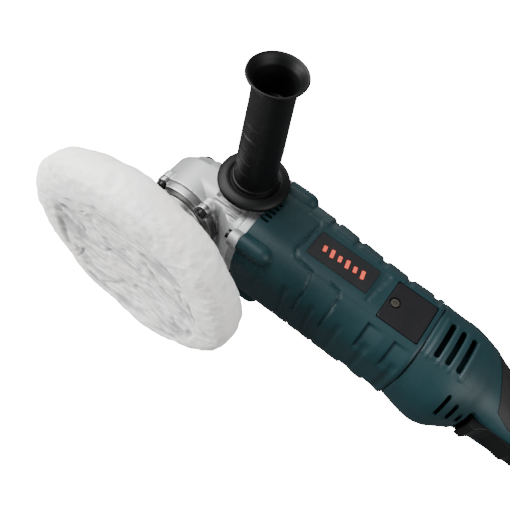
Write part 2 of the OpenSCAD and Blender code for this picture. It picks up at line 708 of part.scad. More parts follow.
module pad_hub() color("dimgray") difference() {
    translate([0, 0, hub_z]) union() {
        cylinder(h = 4, r = hub_d / 2);
        cylinder(h = collar_z - hub_z, r = thread_r + 6);
    }
    translate([0, 0, hub_z - 1]) cylinder(h = 60, r = thread_r + seat);
}

module backing_pad() color([0.1, 0.1, 0.1]) translate([0, 0, pad_z]) difference() {
    rotate_extrude() polygon([[0, 0], [pad_d / 2 - 3, 0], [pad_d / 2, 3], [pad_d / 2, pad_t - 4],
        [pad_d / 2 - 4, pad_t], [0, pad_t]]);
    translate([0, 0, 5]) cylinder(h = pad_t, r = thread_r + 1);
}

module wool_bonnet() color("ivory") {
    rim = pad_d / 2 + wool_t;
    rotate_extrude() polygon(concat([[0, 0]],
        [for (a = [-90:15:0]) [rim - 13 + 13 * cos(a), 15 + 15 * sin(a)]],
        [[rim - 1.5, 24], [rim - 6, 32], [rim - 14, bonnet_h - 3], [rim - 20, bonnet_h],
            [mouth_d / 2 + 3, bonnet_h - 1], [mouth_d / 2, bonnet_h - 4], [mouth_d / 2, hub_z + 0.2],
            [pad_d / 2 - 4, hub_z + 0.2], [pad_d / 2 + 0.2, hub_z - 3.5], [pad_d / 2 + 0.2, pad_z + 2.8],
            [pad_d / 2 - 2.8, pad_z - 0.2], [0, pad_z - 0.2]]));
}

// ---- armature ----

module armature_shaft() color("silver") {
    shaft_x(-13, front_brg_x + 4, 4);
    shaft_x(front_brg_x + 4, baffle_x - 8, front_brg[0]);
    shaft_x(baffle_x - 8, comm_x - comm_len - 1, front_brg[0] + 0.5);
    shaft_x(comm_x - comm_len - 1, rear_brg_x - rear_brg[2] - 1, rear_brg[0]);
}

module armature_core() color("slategray") difference() {
    shaft_x(core_x, core_x - core_len, rotor_d / 2);
    shaft_x(core_x + 1, core_x - core_len - 1, front_brg[0] + 0.5);
    translate([0, 0, axis_z]) for (a = [0:30:359]) rotate([a, 0, 0])
        translate([core_x - core_len - 1, -0.8, rotor_d / 2 - 8]) cube([core_len + 2, 1.6, 10]);
}

module end_turns(x, s) translate([x, 0, axis_z]) rotate([0, 90 * s, 0]) rotate_extrude()
    polygon([[front_brg[0] + 0.5, 0], [rotor_d / 2 - 2, 0], [rotor_d / 2 - 2, 4], [rotor_d / 2 - 5, 8],
        [front_brg[0] + 5, 9], [front_brg[0] + 0.5, 7]]);
module armature_windings() color("orangered") {
    end_turns(core_x, 1);
    end_turns(core_x - core_len, -1);
}

module commutator() color("peru") difference() {
    shaft_x(comm_x, comm_x - comm_len, comm_d / 2);
    shaft_x(comm_x + 1, comm_x - comm_len - 1, front_brg[0] + 0.5);
    translate([0, 0, axis_z]) for (a = [7.5:15:359]) rotate([a, 0, 0])
        translate([comm_x - comm_len - 1, -0.25, comm_d / 2 - 1]) cube([comm_len - 1, 0.5, 2]);
}

module cooling_fan() color("dimgray") difference() {
    union() {
        shaft_x(fan_x - 8, fan_x - 10, fan_d / 2);
        shaft_x(fan_x, fan_x - 10, front_brg[0] + 5);
        translate([0, 0, axis_z]) for (k = [0:fan_blades - 1]) rotate([360 * k / fan_blades, 0, 0])
            translate([fan_x - 8.5, -1, front_brg[0] + 8]) cube([7, 2, fan_d / 2 - front_brg[0] - 9]);
    }
    shaft_x(fan_x + 1, fan_x - 11, front_brg[0]);
}

module pinion() color("gray") difference() {
    union() {
        translate([0, 0, axis_z]) rotate([0, -90, 0]) rotate(180 / pinion_teeth)
            bevel(pinion_teeth, pinion_angle, 0.8, 3, crown_r + 1);
        shaft_x(-cone_in + 0.3, -crown_r - 1, 3.5);
    }
    shaft_x(0, -crown_r - 5, 4);
}

module pinion_nut() color("black") difference() {
    translate([0, 0, axis_z]) along_x(-14, -18.5) circle(5.6, $fn = 6);
    shaft_x(0, -30, 4);
}

// ---- controls ----

button_z = roof_z + 1;

module lock_button() color("black") translate([lock_x, 0, button_z]) difference() {
    rotate_extrude() polygon([[0, 0], [button_r, 0], [button_r, 6.5], [button_r - 1.5, 8], [0, 8]]);
    translate([0, 0, -1]) cylinder(h = 4, r = lock_pin_r - 0.5);
}
module lock_pin() color("silver") translate([lock_x, 0, web_z + 2])
    cylinder(h = button_z - web_z - 2, r = lock_pin_r);
module lock_spring() color("silver") translate([lock_x, 0, lock_floor]) coil(5.2, 0.5, 4, button_z - lock_floor);

module trigger() color([0.1, 0.1, 0.09]) difference() {
    rotate([90, 0, 0]) translate([trigger_nose, pivot_z, -trigger_w / 2]) linear_extrude(trigger_w) polygon([
        [0, -2], [0, -10], [-5, -10.8], [-9, -7], [-12.5, -4.6], [-18, -3.4], [-24, -4.6], [-36.5, -6.5],
        [-41, -4], [pivot_x - 5 - trigger_nose, -4], [pivot_x - 5 - trigger_nose, 2],
        [pivot_x + 8 - trigger_nose, trigger_top - pivot_z], [-9.5, trigger_top - pivot_z]]);
    rod_y(pivot_x, pivot_z, -30, 30, trigger_pin_r + run);
}
module trigger_spring() color("silver") translate([spring_x, 0, trigger_top]) coil(3.2, 0.4, 5, switch_z - trigger_top);

module lock_on_button() color("darkred") {
    rod_y(lock_on_x, lock_on_z, 13.8, grip_hw + 2.5, lock_on_d / 2);
}

module speed_dial() color([0.08, 0.08, 0.08]) translate([dial_x, 0, dial_z]) rotate([90, 0, 0]) {
    difference() {
        cylinder(h = dial_w, r = dial_d / 2, center = true);
        for (a = [0:15:359]) rotate(a) translate([dial_d / 2, 0, -dial_w])
            cylinder(h = 2 * dial_w, r = 0.7, $fn = 16);
    }
    cylinder(h = dial_w + 14, r = 2.5, center = true);
}

gear_case();
gear_case_screws();
bearing_cover();
bearing_cover_screws();
spindle_seal();
spindle_bearing();
spindle_bush();
front_bearing();
rear_bearing();
bearing_sleeve();
air_baffle();
motor_housing();
stator_core();
field_windings();
brush_holder_left();
brush_holder_right();
brush_left();
brush_right();
brush_spring_left();
brush_spring_right();
brush_cover_left();
brush_cover_right();
brush_cover_screws();
label_plate();
rating_plate();
rear_shell_left();
rear_shell_right();
grip_inlay_left();
grip_inlay_right();
shell_screws();
switch_body();
control_module();
cord_gland();
trigger_pin();
side_handle_grip();
side_handle_stud();
spindle();
crown_gear();
crown_gear_clip();
pad_hub();
backing_pad();
wool_bonnet();
armature_shaft();
armature_core();
armature_windings();
commutator();
cooling_fan();
pinion();
pinion_nut();
lock_button();
lock_pin();
lock_spring();
trigger();
trigger_spring();
lock_on_button();
speed_dial();
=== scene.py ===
# %% [markdown]
# # A rotary polisher around a fixed frame
# The working parts of this machine come ready made, each with its true size and place. This
# lesson gives them their looks: it models again what is moulded, cast or woollen, and paints the
# rest. First comes the frame itself.

# %% Load the frame
import json
import math
import random

import bmesh
import bpy
from mathutils import Matrix, Vector, noise


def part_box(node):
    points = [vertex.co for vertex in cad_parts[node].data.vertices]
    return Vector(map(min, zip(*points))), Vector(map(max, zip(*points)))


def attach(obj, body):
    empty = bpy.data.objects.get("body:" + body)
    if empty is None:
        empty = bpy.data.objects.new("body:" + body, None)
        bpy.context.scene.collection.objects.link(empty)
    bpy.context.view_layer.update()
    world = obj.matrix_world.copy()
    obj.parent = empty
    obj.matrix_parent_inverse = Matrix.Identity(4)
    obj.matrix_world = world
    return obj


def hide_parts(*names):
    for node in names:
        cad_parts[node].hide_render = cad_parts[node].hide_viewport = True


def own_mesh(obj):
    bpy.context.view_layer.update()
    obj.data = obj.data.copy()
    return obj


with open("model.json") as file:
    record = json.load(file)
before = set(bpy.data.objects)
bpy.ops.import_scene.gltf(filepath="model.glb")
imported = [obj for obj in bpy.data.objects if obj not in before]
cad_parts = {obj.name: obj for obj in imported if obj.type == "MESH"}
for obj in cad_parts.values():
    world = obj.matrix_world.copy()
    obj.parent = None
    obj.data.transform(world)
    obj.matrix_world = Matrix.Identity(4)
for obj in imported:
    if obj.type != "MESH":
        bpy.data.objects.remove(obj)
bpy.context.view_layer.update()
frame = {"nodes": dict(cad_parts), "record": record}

# %% [markdown]
# ## Camera
# The machine is seen from its left, from low down near the bonnet, with the camera rolled over so
# that the body runs from the upper left to the lower right. A camera's own axes are set directly
# here: right, up and backwards are the columns of its matrix. That is the surest way when a view
# is rolled, because no target or track constraint has to be fought.

# %% Place the camera
CAMERA_PLACE = Vector((-0.1605, 0.3986, -0.1306))
RIGHT = Vector((-0.79224, 0.13586, 0.5949)).normalized()
FORWARD = Vector((0.19738, -0.86544, 0.46049)).normalized()
UP = RIGHT.cross(FORWARD)

camera_data = bpy.data.cameras.new("camera")
camera_data.lens = 39.65
camera = bpy.data.objects.new("camera", camera_data)
bpy.context.scene.collection.objects.link(camera)
axes = Matrix((RIGHT, UP, -FORWARD)).transposed().to_4x4()
camera.matrix_world = Matrix.Translation(CAMERA_PLACE) @ axes
camera_data.clip_start, camera_data.clip_end = 0.01, 20
bpy.context.scene.camera = camera
print("camera at", tuple(round(c, 3) for c in CAMERA_PLACE), "lens", camera_data.lens)

# %% [markdown]
# ## Shader maths as plain expressions
# A material is a net of nodes, and wiring one by hand hides the idea behind it. `Wire` wraps one
# socket, so that `wear * 0.3 + grain` builds its Math nodes by itself. `Finish` holds one material
# and makes every other node through a single method.

# %% Socket wrapper and material builder
class Wire:
    """One output socket, which adds and multiplies like a number."""

    def __init__(self, finish, socket):
        self.finish, self.socket = finish, socket

    def _maths(self, operation, a, b):
        return self.finish.node("ShaderNodeMath", {"operation": operation}, {0: a, 1: b})["Value"]

    def __add__(self, other):
        return self._maths("ADD", self, other)

    def __sub__(self, other):
        return self._maths("SUBTRACT", self, other)

    def __rsub__(self, other):
        return self._maths("SUBTRACT", other, self)

    def __mul__(self, other):
        return self._maths("MULTIPLY", self, other)

    def __pow__(self, other):
        return self._maths("POWER", self, other)

    __radd__, __rmul__ = __add__, __mul__


class Outputs:
    """The outputs of a node, taken by name."""

    def __init__(self, finish, node):
        self.finish, self.made = finish, node

    def __getitem__(self, name):
        return Wire(self.finish, self.made.outputs[name])


class Finish:
    """A material around one Principled shader."""

    def __init__(self, name, colour, roughness, metallic=0.0, **fixed):
        self.material = bpy.data.materials.new(name)
        self.material.use_nodes = True
        self.tree = self.material.node_tree
        self.shader = self.tree.nodes["Principled BSDF"]
        self.shader.inputs["Base Color"].default_value = (*colour, 1)
        self.shader.inputs["Roughness"].default_value = roughness
        self.shader.inputs["Metallic"].default_value = metallic
        for socket, value in fixed.items():
            self.shader.inputs[socket.replace("_", " ")].default_value = value
        self.colour, self.bump = colour, None
        self.place = self.node("ShaderNodeTexCoord")["Object"]

    def node(self, kind, settings=None, sockets=None):
        made = self.tree.nodes.new(kind)
        for setting, value in (settings or {}).items():
            setattr(made, setting, value)
        for socket, value in (sockets or {}).items():
            if isinstance(value, Wire):
                self.tree.links.new(value.socket, made.inputs[socket])
            else:
                made.inputs[socket].default_value = value
        return Outputs(self, made)

    def noise(self, scale, detail=3.0, stretch=(1, 1, 1)):
        """Soft cloudy noise from 0 to 1. Scale is in lumps to the metre."""
        at = self.place
        if stretch != (1, 1, 1):
            at = self.node("ShaderNodeMapping", None, {"Vector": at, "Scale": stretch})["Vector"]
        return self.node("ShaderNodeTexNoise", None, {"Vector": at, "Scale": scale, "Detail": detail})["Fac"]

    def cells(self, scale, stretch=(1, 1, 1)):
        """Distance to the nearest point of a scatter, for grain and clumps."""
        at = self.node("ShaderNodeMapping", None, {"Vector": self.place, "Scale": stretch})["Vector"]
        return self.node("ShaderNodeTexVoronoi", None, {"Vector": at, "Scale": scale})["Distance"]

    def between(self, value, low, high):
        """0 below low, 1 above high, and smooth between."""
        return self.node("ShaderNodeMapRange", {"interpolation_type": "SMOOTHSTEP"},
                         {"Value": value, "From Min": low, "From Max": high})["Result"]

    def mix(self, mask, first, second):
        """First colour where the mask is 0, second where it is 1."""
        made = self.node("ShaderNodeMix", {"data_type": "RGBA"})
        self.set_socket(made.made.inputs[0], mask)
        self.set_socket(made.made.inputs[6], first)
        self.set_socket(made.made.inputs[7], second)
        return Wire(self, made.made.outputs[2])

    def set_socket(self, socket, value):
        if isinstance(value, Wire):
            self.tree.links.new(value.socket, socket)
        else:
            socket.default_value = (*value, 1) if isinstance(value, tuple) and len(value) == 3 else value

    def set(self, **values):
        for socket, value in values.items():
            self.set_socket(self.shader.inputs[socket.replace("_", " ")], value)
        return self

    def raise_by(self, height, depth, strength=1.0):
        """Adds a bump whose highest point stands depth metres proud."""
        links = {"Height": height, "Distance": depth, "Strength": strength}
        if self.bump:
            links["Normal"] = self.bump
        self.bump = self.node("ShaderNodeBump", None, links)["Normal"]
        return self.set(Normal=self.bump)


# %% [markdown]
# ## Finishes
# Each finish gets what the real surface has at its real scale. Moulded plastic carries a fine spark
# grain, soft patches of gloss and a little dust. Cast metal is grainy and blotchy, turned metal has
# rings, and rubber is dull. Scales are in lumps to the metre, so 1500 means about 0.7 mm.

# %% Plastics and rubber
def plastic(name, colour, roughness, grain=1500, depth=4e-5, patchy=0.12, **fixed):
    """Moulded plastic: spark grain in the bump, and gloss that varies in soft patches."""
    finish = Finish(name, colour, roughness, **fixed)
    patches = finish.noise(45, 4)
    dust = finish.between(finish.noise(160, 6), 0.62, 0.8)
    dark = tuple(c * 0.82 for c in colour)
    light = tuple(c * 1.15 + 0.0006 for c in colour)
    base = finish.mix(patches, dark, light)
    finish.set(Base_Color=finish.mix(dust * 0.2, base, tuple(c * 1.5 + 0.006 for c in colour)))
    finish.set(Roughness=patches * patchy + dust * 0.1 + (roughness - patchy / 2))
    return finish.raise_by(finish.noise(grain, 2), depth)


TEAL = plastic("teal_plastic", (0.0055, 0.0235, 0.028), 0.47, grain=1300, depth=5e-5,
               Specular_IOR_Level=0.24)
BLACK = plastic("black_plastic", (0.0026, 0.0027, 0.0028), 0.48, grain=1100, depth=4e-5,
                Specular_IOR_Level=0.2)
CHARCOAL = plastic("charcoal_plastic", (0.0075, 0.0072, 0.0085), 0.42, grain=2200, depth=2e-5,
                   Specular_IOR_Level=0.25)
GREY = plastic("grey_plastic", (0.07, 0.07, 0.072), 0.5)
RED = plastic("red_plastic", (0.42, 0.025, 0.015), 0.35, grain=2000)
LABEL = plastic("label_film", (0.009, 0.0095, 0.0105), 0.4, grain=900, depth=1e-5,
                Specular_IOR_Level=0.3)
PRINT = plastic("label_print", (0.78, 0.082, 0.045), 0.4, grain=2500, depth=1e-5, patchy=0.05)
SOFT = plastic("soft_grip", (0.006, 0.0056, 0.0056), 0.6, grain=900, depth=8e-5,
               Specular_IOR_Level=0.3)
RUBBER = plastic("rubber", (0.011, 0.011, 0.011), 0.7, grain=700, depth=6e-5)
FOAM = plastic("pad_foam", (0.016, 0.016, 0.017), 0.8, grain=500, depth=2e-4)
CARBON = plastic("carbon", (0.015, 0.015, 0.015), 0.55, grain=1800)
print("plastics:", len(bpy.data.materials))


# %% Metals
def metal(name, colour, roughness, grain=900, depth=3e-5, stretch=(1, 1, 1), blotch=0.15, metallic=1.0):
    """Bare metal: the grain is stretched along the lay of the tool marks."""
    finish = Finish(name, colour, roughness, metallic)
    blotches = finish.noise(70, 5)
    marks = finish.noise(grain, 4, stretch)
    dull = tuple(c * (1 - blotch * 1.6) for c in colour)
    base = finish.mix(blotches, dull, tuple(min(1, c * (1 + blotch * 0.4)) for c in colour))
    finish.set(Base_Color=finish.mix(marks * 0.35, base, tuple(c * 0.7 for c in colour)))
    finish.set(Roughness=blotches * 0.16 + marks * 0.18 + (roughness - 0.17))
    return finish.raise_by(marks, depth)


CAST = metal("cast_aluminium", (0.50, 0.505, 0.51), 0.52, grain=1000, depth=8e-5, metallic=0.8)
TURNED = metal("turned_aluminium", (0.42, 0.42, 0.415), 0.34, grain=160, depth=5e-5, stretch=(1, 1, 14))
STEEL = metal("machined_steel", (0.56, 0.56, 0.57), 0.28, grain=1500, depth=1e-5)
BRIGHT = metal("bright_screws", (0.62, 0.61, 0.58), 0.27, grain=1500, depth=1e-5)
ZINC = metal("dull_zinc", (0.24, 0.225, 0.19), 0.34, grain=1500, depth=2e-5, blotch=0.3)
OXIDE = metal("black_screws", (0.05, 0.05, 0.052), 0.38, grain=1500, depth=1e-5)
GEAR = metal("gear_steel", (0.33, 0.33, 0.34), 0.36, grain=1200)
SHEETS = metal("lamination_steel", (0.28, 0.29, 0.31), 0.42, grain=400, depth=6e-5, stretch=(8, 1, 1))
COPPER = metal("copper_wire", (0.55, 0.21, 0.09), 0.36, grain=500, depth=1.5e-4, stretch=(1, 4, 4))
BRONZE = metal("bronze", (0.58, 0.40, 0.18), 0.35)
print("materials so far:", len(bpy.data.materials))

# %% [markdown]
# ## Wool
# The wool's colour is greyed as painted shade where the bonnet is sunk: in its creases, dents and folds,
# and a little over the whole working face. How much follows a number stored on every point of the
# bonnet, `depth`, which the modelling below writes. A little sheen lights the edges of the pile, and a fine
# stretched noise lays the fibres.

# %% Wool
def wool(name):
    finish = Finish(name, (0.86, 0.85, 0.82), 0.92, Sheen_Weight=0.25, Sheen_Roughness=0.6)
    # Painted shade: the stored depth greys the wool in creases, dents and folds and a little over the working face.
    # Clumps and fibres add random tone.
    depth = finish.node("ShaderNodeAttribute", {"attribute_name": "depth"})["Fac"]
    clumps = finish.noise(120, 5)
    fibres = finish.noise(900, 6, (0.5, 1, 1))
    shade = finish.between(depth * 1.25 + clumps * 0.35 + fibres * 0.12, 0.2, 1.1)
    warm = finish.mix(finish.between(finish.noise(24, 2), 0.35, 0.7), (0.955, 0.945, 0.925), (0.94, 0.915, 0.85))
    finish.set(Base_Color=finish.mix(shade, warm, (0.43, 0.435, 0.435)))
    finish.raise_by(finish.noise(300, 4, (0.6, 1, 1)), 8e-4, 0.5)
    return finish.raise_by(fibres, 4e-4, 0.6)


WOOL = wool("wool")
print("wool ready")

# %% [markdown]
# ## Helpers for making pieces
# Lengths below are written in millimetres, as on a drawing, and `MM` turns them into Blender's
# metres. `rolled_sheet` is the main tool for the moulded shells: it takes a flat grid and lays every
# point of it on a curved form, which gives full control of grooves, steps and bosses.

# %% Sheets, blocks and finished pieces
MM = 0.001


def ease(value, low, high):
    """0 at low, 1 at high and smooth between. Low may be the larger."""
    share = min(1.0, max(0.0, (value - low) / (high - low)))
    return share * share * (3 - 2 * share)


def rolled_sheet(along, around, place):
    """A grid of faces whose points go to place(u, v), with u and v from 0 to 1."""
    sheet = bmesh.new()
    bmesh.ops.create_grid(sheet, x_segments=along, y_segments=around, size=0.5)
    for point in sheet.verts:
        point.co = Vector(place(point.co.x + 0.5, point.co.y + 0.5)) * MM
    bmesh.ops.remove_doubles(sheet, verts=sheet.verts, dist=1e-6)
    bmesh.ops.recalc_face_normals(sheet, faces=sheet.faces)
    return sheet


def block(size, middle, corner=0.0, through="Y", turn=None, steps=4):
    """A block whose edges along one axis are rounded, turned (degrees, axis) about its middle."""
    form = bmesh.new()
    bmesh.ops.create_cube(form, size=1)
    bmesh.ops.scale(form, vec=Vector(size) * MM, verts=form.verts)
    axis = "XYZ".index(through)
    if corner:
        edges = [e for e in form.edges if abs((e.verts[0].co - e.verts[1].co)[axis]) > 1e-9]
        bmesh.ops.bevel(form, geom=edges, offset=corner * MM, affect="EDGES", segments=steps,
                        profile=0.5, material=-1)
    if turn:
        bmesh.ops.rotate(form, verts=form.verts, matrix=Matrix.Rotation(math.radians(turn[0]), 3, turn[1]))
    bmesh.ops.translate(form, vec=Vector(middle) * MM, verts=form.verts)
    return form


def prism(outline, low, high):
    """The (x, z) outline as a solid from y = low to y = high."""
    form = bmesh.new()
    face = form.faces.new([form.verts.new((x * MM, low * MM, z * MM)) for x, z in outline])
    grown = bmesh.ops.extrude_face_region(form, geom=[face])["geom"]
    top = [part for part in grown if isinstance(part, bmesh.types.BMVert)]
    bmesh.ops.translate(form, vec=(0, (high - low) * MM, 0), verts=top)
    bmesh.ops.recalc_face_normals(form, faces=form.faces)
    return form


def gather(forms):
    """Several closed forms in one mesh, side by side."""
    whole = forms[0]
    for form in forms[1:]:
        scratch = bpy.data.meshes.new("scratch")
        form.to_mesh(scratch)
        form.free()
        whole.from_mesh(scratch)
        bpy.data.meshes.remove(scratch)
    return whole


def to_object(name, form):
    mesh = bpy.data.meshes.new(name)
    form.to_mesh(mesh)
    form.free()
    made = bpy.data.objects.new(name, mesh)
    bpy.context.scene.collection.objects.link(made)
    return made


def bake(piece):
    """Applies a piece's modifiers: the finished mesh becomes its own."""
    rough = piece.data
    finished = piece.evaluated_get(bpy.context.evaluated_depsgraph_get())
    piece.data = bpy.data.meshes.new_from_object(finished)
    piece.modifiers.clear()
    bpy.data.meshes.remove(rough)
    return piece


def modify(piece, kind, **settings):
    change = piece.modifiers.new(kind.lower(), kind)
    for setting, value in settings.items():
        setattr(change, setting, value)
    return change


def cut(piece, forms, operation="DIFFERENCE"):
    """Cuts closed forms out of a piece, or keeps only what is inside them."""
    tool = to_object("cutter", gather(forms))
    modify(piece, "BOOLEAN", object=tool, operation=operation, solver="MANIFOLD")
    bake(piece)
    shape = tool.data
    bpy.data.objects.remove(tool)
    bpy.data.meshes.remove(shape)
    return piece


def finish_piece(piece, finish, slot, body, *replaced, sharp=38):
    """Shades, paints and names the place of a finished piece."""
    mesh = piece.data
    mesh.materials.clear()
    mesh.materials.append(finish.material)
    mesh.polygons.foreach_set("use_smooth", [True] * len(mesh.polygons))
    mesh.set_sharp_from_angle(angle=math.radians(sharp))
    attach(piece, body)
    if replaced:
        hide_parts(*replaced)
    print(piece.name, "faces:", len(mesh.polygons))
    return piece


# %% [markdown]
# ## Main sizes
# The frame gives the stations along the machine, so no size is guessed here. The motor runs along
# X at one height, and the housing is a rounded rectangle across it.

# %% Read the stations from the frame
def box_mm(node):
    low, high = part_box(node)
    return Vector(low) / MM, Vector(high) / MM


(_, _, housing_low_z), (housing_front, housing_hw, housing_top) = box_mm("motor_housing")
SPLIT = box_mm("motor_housing")[0].x
FRONT = round(housing_front)
HALF_W = 42.0
HALF_H = 43.0
AXIS = 98.0
CORNER = 30.0
print("housing from x", round(SPLIT, 1), "to", FRONT, "mm, height", housing_low_z, housing_top)

# %% [markdown]
# ## Motor housing
# The real part is one glass-filled nylon moulding, slid over the stator. A cylinder with a few
# boolean cuts would lose its soft steps, so here a grid is rolled round the section instead. Every
# point knows its distance behind the front face and its rise, the length of arc above the middle
# of the side. `housing_relief` turns these two into a height above the plain skin.

# %% Section and relief of the housing
FLAT_SIDE, FLAT_TOP = HALF_H - CORNER, HALF_W - CORNER
QUARTER = FLAT_SIDE + CORNER * math.pi / 2 + FLAT_TOP


def section(arc):
    """Point (y, z), outward direction and rise, at a length of arc from the left side's middle."""
    up = 1 if arc >= 0 else -1
    left = 1 if abs(arc) <= QUARTER else -1
    rise = abs(arc) if left > 0 else 2 * QUARTER - abs(arc)
    turn = min(max((rise - FLAT_SIDE) / CORNER, 0.0), math.pi / 2)
    y = FLAT_TOP + CORNER * math.cos(turn) - max(0.0, rise - QUARTER + FLAT_TOP)
    z = min(rise, FLAT_SIDE) + CORNER * math.sin(turn)
    return left * y, up * z, left * math.cos(turn), up * math.sin(turn), up * rise


CROWN_DRAFT, KEEL_DRAFT, CORNER_DRAFT = 0.095, 0.045, 3.2


def drafted(back, z, out_z):
    """Height and extra corner sink once the mould's draft towards the back is taken off."""
    if z > 0:
        return z * (1 - CROWN_DRAFT * back), CORNER_DRAFT * back * 4 * out_z ** 2 * (1 - out_z ** 2)
    return z * (1 - KEEL_DRAFT), 0.0


GROOVES = [
    [(40, 15), (37, -14), (42, -21), (58, -23), (61, -37), (60, -50), (60, -62)],
    [(74, -22), (82, -23), (85, -27), (84, -49), (84, -60)],
]
SPANS = [(a, b) for line in GROOVES for a, b in zip(line, line[1:])]
PITCH = 24
POCKETS = [111, 133]
SCREW_REACH, SCREW_BOSS, BOSS_LENGTH = 33.0, 8.0, 28.0


def groove_gap(s, rise):
    """Distance from the nearest groove line."""
    nearest = 9.0
    for (x1, y1), (x2, y2) in SPANS:
        if not (min(x1, x2) - 4 < s < max(x1, x2) + 4 and min(y1, y2) - 4 < rise < max(y1, y2) + 4):
            continue
        dx, dy = x2 - x1, y2 - y1
        share = min(1, max(0, ((s - x1) * dx + (rise - y1) * dy) / (dx * dx + dy * dy)))
        nearest = min(nearest, math.hypot(s - x1 - share * dx, rise - y1 - share * dy))
    return nearest


def screw_boss(s, rise):
    """Height of the boss round a long housing screw, above the rounded corner."""
    radius = SCREW_BOSS * math.sqrt(max(0.0, 1 - max(0.0, (s - BOSS_LENGTH + 9) / 9) ** 2))
    turn = (abs(rise) - FLAT_SIDE) / CORNER
    dy, dz = SCREW_REACH - FLAT_TOP, SCREW_REACH - FLAT_SIDE
    aside = dy * math.sin(turn) - dz * math.cos(turn)
    if abs(aside) >= radius:
        return 0.0
    return max(0.0, dy * math.cos(turn) + dz * math.sin(turn) + math.sqrt(radius ** 2 - aside ** 2) - CORNER)


def housing_relief(s, rise, length):
    height = -1.1 * ease(s, length - 1.6, length) - 0.8 * ease(s, 1.2, 0)
    inside = ease(abs(rise), 23.2, 21.8) * ease(s, 38.4, 40)
    height += 0.45 * inside
    height -= 1.25 * ease(groove_gap(s, rise), 1.7, 0.5)
    wave = abs((s - 12) % PITCH - PITCH / 2) * 2 / PITCH
    valley = ease(wave, 0.30, 0.12)
    if s > 27:
        crown = ease(rise, 17.5, 19.5) * (1 - valley)
        height += 0.95 * crown - 1.0 * ease(rise, 24, 27) * valley
        height -= 1.3 * ease(rise, -42, -50) * valley
    for start in POCKETS:
        if start < s < start + 15:
            ramp = ease(s, start, start + 1.2) * (1 - (s - start) / 15)
            height -= 2.6 * ramp * ease(rise, -28.5, -30) * ease(rise, -57, -50)
    notch = ease(s, 99.5, 101) * ease(s, 107.5 - 0.16 * (14 - rise), 106 - 0.16 * (14 - rise))
    height -= 1.2 * notch * ease(rise, -17, -15.5) * ease(rise, 15.5, 14)
    if s < BOSS_LENGTH + 1:
        height = max(height, screw_boss(s, rise))
    return height


print("quarter of the section:", round(QUARTER, 1), "mm")

# %% [markdown]
# The grid is rolled, closed by merging its two edges, and given a wall with Solidify. The openings
# for the brush covers and the air outlet at the front are then cut with booleans, because their
# edges must be crisp.

# %% Roll the motor housing
HOUSING_LENGTH = FRONT - SPLIT


def on_housing(u, v):
    s = u * HOUSING_LENGTH
    y, z, out_y, out_z, rise = section((v * 2 - 1) * 2 * QUARTER)
    z, sink = drafted(ease(s, 28, 128), z, out_z)
    height = housing_relief(s, rise, HOUSING_LENGTH) - sink
    return FRONT - s, y + out_y * height, AXIS + z + out_z * height


housing = to_object("housing_shell", rolled_sheet(136, 256, on_housing))
modify(housing, "SOLIDIFY", thickness=2.2 * MM, offset=-1)
bake(housing)
cover_low, cover_high = box_mm("brush_cover_left")
cover_mid = (cover_low + cover_high) / 2
openings = []
for side in (-1, 1):
    openings.append(block((cover_high.x - cover_low.x + 0.9, 12, cover_high.z - cover_low.z + 0.9),
                          (cover_mid.x, side * 41, cover_mid.z), corner=0.8, steps=2))
    openings += [block((9, 14, 2.3), (FRONT - 3.6, side * 40, AXIS + rise), corner=0.8, steps=2)
                 for rise in (-9.5, -4.8, -0.1, 4.6, 9.3)]
plate_low, plate_high = box_mm("label_plate")
plate_mid, plate_size = (plate_low + plate_high) / 2, plate_high - plate_low
openings += [block((plate_size.x + 1.4, 6, plate_size.z + 1.4), (plate_mid.x, side * 44.9, plate_mid.z),
                   corner=1.5) for side in (-1, 1)]
cut(housing, openings)
tray_size = (cover_high.x - cover_low.x + 7, 0.8, cover_high.z - cover_low.z + 7)
trays = [block(tray_size, (cover_mid.x, side * 38.5, cover_mid.z), corner=2) for side in (-1, 1)]
cut(housing, trays, "UNION")
finish_piece(housing, TEAL, "teal_plastic", "housing", "motor_housing")

# %% [markdown]
# ## Rear shells
# Behind the motor the housing is two half shells that clamp the switch and the grip. Their section
# changes from a rounded square to the narrow grip, so it is given as stations: place, middle, half
# sizes and squareness. The same rolling is used, for half a turn, and the other half is its mirror.

# %% Stations of the rear shells
STATIONS = [
    (-208, 96.6, 39, 36.4, 2.4), (-213.3, 96.6, 39, 36.4, 2.4),
    (-213.4, 97.0, 41.4, 39.5, 2.35), (-214.6, 97.0, 42.2, 40.3, 2.35),
    (-228, 94.9, 42.1, 42.0, 2.3), (-241, 94.2, 41.5, 43.1, 2.3), (-251, 94.6, 39.5, 41.1, 2.3),
    (-261, 96.2, 36, 36.4, 2.35), (-273, 96.7, 30, 30.5, 2.45), (-291, 94.2, 25.2, 26.8, 2.5),
    (-308, 92.3, 23.2, 24.4, 2.5), (-325, 92, 23, 24, 2.5), (-349, 92, 23, 24, 2.5),
    (-373, 92, 23, 24, 2.5), (-381, 92, 21.6, 22.6, 2.4), (-384.2, 92, 19.5, 20.5, 2.4),
    (-385, 92, 17, 18, 2.4), (-385, 91.2, 12.5, 12.5, 2.2), (-385, 90, 8.4, 8.4, 2.0),
]
REACH = [0.0]
for before, after in zip(STATIONS, STATIONS[1:]):
    REACH.append(REACH[-1] + math.hypot(after[0] - before[0], after[2] - before[2]))


def station_at(share):
    """Station values at a share of the length, on a smooth curve through the stations."""
    far = share * REACH[-1]
    k = max(i for i in range(len(REACH) - 1) if REACH[i] <= far + 1e-9)
    t = (far - REACH[k]) / (REACH[k + 1] - REACH[k])
    rows = [STATIONS[min(max(j, 0), len(STATIONS) - 1)] for j in range(k - 1, k + 3)]
    if STATIONS[k][0] <= -373 or k < 4:
        return [a + (b - a) * t for a, b in zip(rows[1], rows[2])]
    return [0.5 * (2 * b + (c - a) * t + (2 * a - 5 * b + 4 * c - d) * t * t
                   + (3 * b - a - 3 * c + d) * t ** 3) for a, b, c, d in zip(*rows)]


